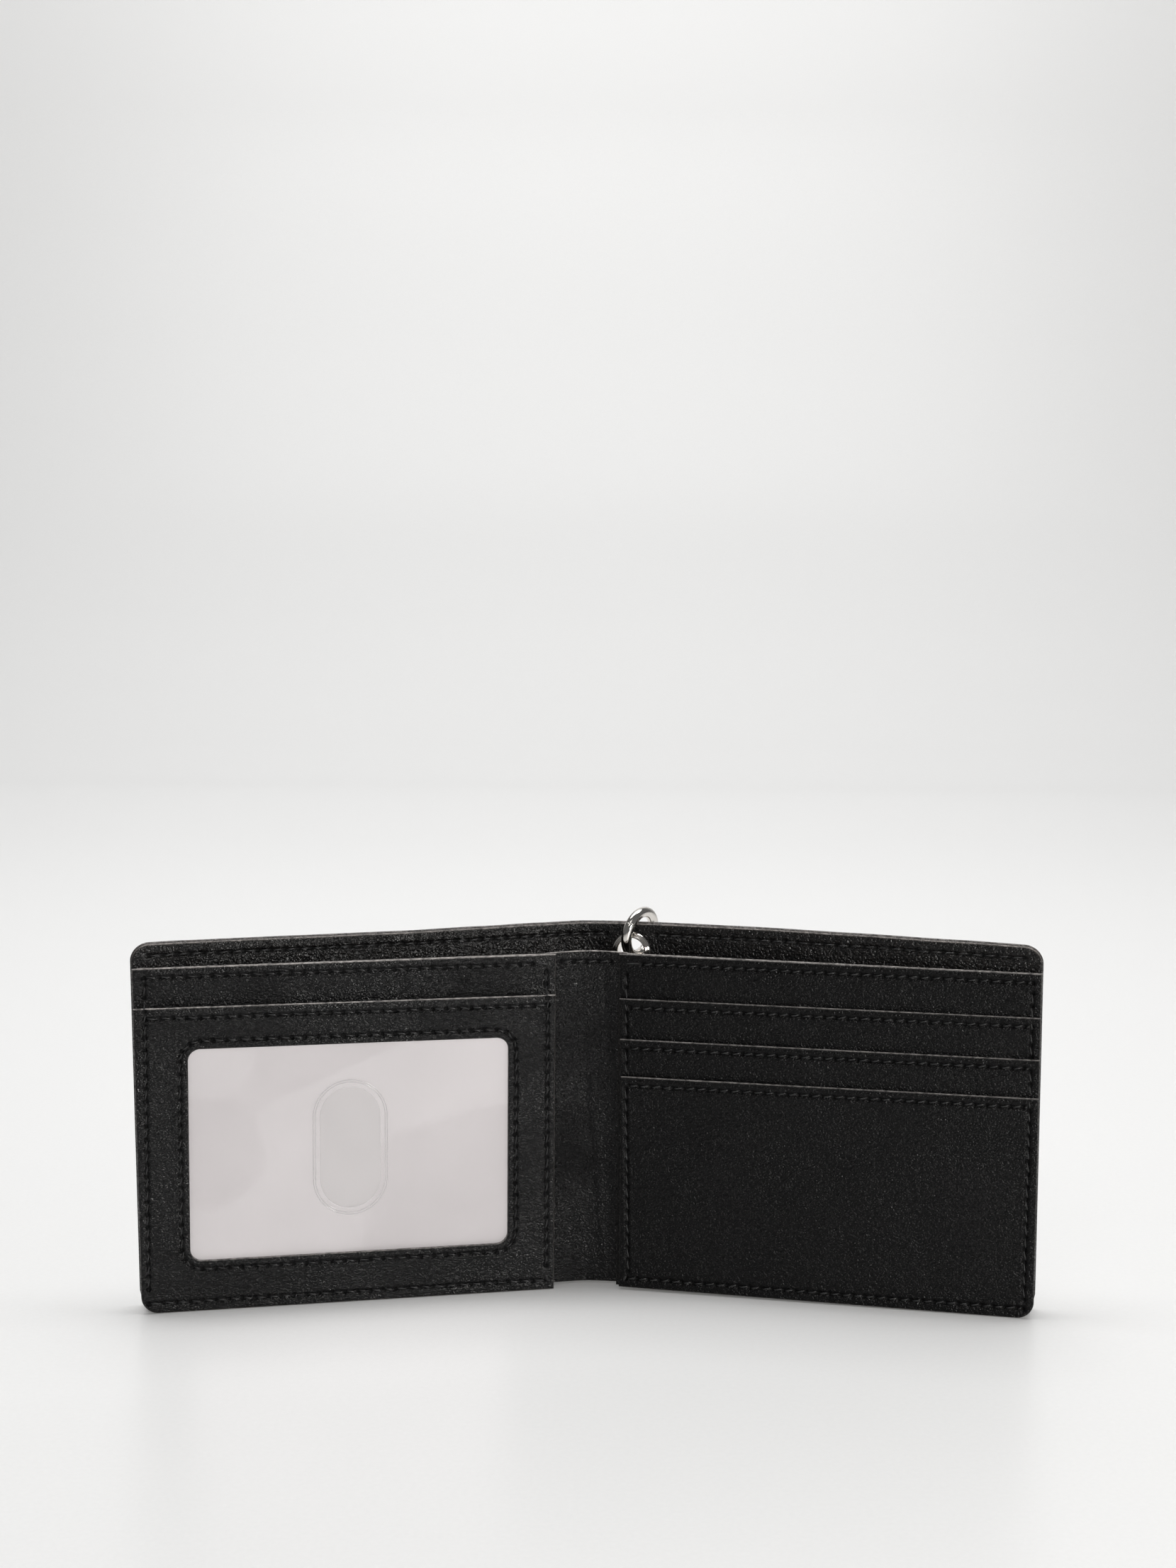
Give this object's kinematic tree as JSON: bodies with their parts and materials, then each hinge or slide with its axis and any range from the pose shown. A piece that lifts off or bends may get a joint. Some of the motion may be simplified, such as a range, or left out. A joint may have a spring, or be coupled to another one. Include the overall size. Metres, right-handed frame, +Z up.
{
  "type": "bifold wallet",
  "caption": "Bifold wallet standing open, with an ID window pocket, card slots, a banknote compartment behind them, and a jump ring in an eyelet by the spine.",
  "frame": {"origin": "centre of the bounding box, on the surface the wallet stands on", "axes": "+X along the open width to the card slots, -Y out of the open inside towards the user, +Z up"},
  "size_m": [0.2118, 0.0376, 0.0915],
  "materials": {
    "leather": "soft pebbled black leather, satin",
    "lining": "fine black lining fabric",
    "thread": "black twisted thread",
    "nickel": "polished nickel plate",
    "window_film": "clear soft PVC film",
    "insert_paper": "pale matt paper"
  },
  "bodies": {
    "left_half": {"window_frame": "leather", "clear_window": "window_film", "left_pocket_back": "leather", "inner_panel_left": "leather", "inner_panel_spine": "leather", "outer_shell_left": "leather", "outer_shell_spine": "leather", "note_facing_left": "leather", "note_facing_spine": "leather", "note_lining_left": "lining", "note_lining_spine": "lining", "thread_left_perimeter": "thread", "thread_window": "thread", "thread_id_mouth": "thread", "thread_inner_top_left": "thread", "thread_inner_top_spine": "thread", "thread_shell_top_left": "thread", "thread_shell_top_spine": "thread"},
    "right_half": {"card_pocket_front": "leather", "card_pocket_middle": "leather", "card_pocket_rear": "leather", "right_pocket_back": "leather", "inner_panel_right": "leather", "pocket_lining_middle": "lining", "pocket_lining_rear": "lining", "outer_shell_right": "leather", "note_facing_right": "leather", "note_lining_right": "lining", "thread_right_perimeter": "thread", "thread_slot_front": "thread", "thread_slot_middle": "thread", "thread_slot_rear": "thread", "thread_inner_top_right": "thread", "thread_shell_top_right": "thread", "eyelet": "nickel", "eyelet_washer": "nickel"},
    "insert": {"insert_card": "insert_paper"},
    "ring": {"jump_ring": "nickel"}
  },
  "joints": [
    {"name": "fold", "type": "hinge", "parent": "left_half", "child": "right_half", "pos_m": [-0.00003, 0.0018, 0], "axis": [0, 0, -1], "range_deg": [-22, 157.5], "deforming": ["inner_panel_spine", "outer_shell_spine", "note_facing_spine", "note_lining_spine", "thread_inner_top_spine", "thread_shell_top_spine"]},
    {"name": "insert_slide", "type": "slide", "parent": "left_half", "child": "insert", "axis": [0, 0, 1], "range_m": [0, 0.062]},
    {"name": "ring_swing", "type": "hinge", "parent": "right_half", "child": "ring", "pos_m": [0.01065, 0.01241, 0.0799], "axis": [-0.2275, -0.9721, 0.0564], "range_deg": [-6, 22]}
  ]
}
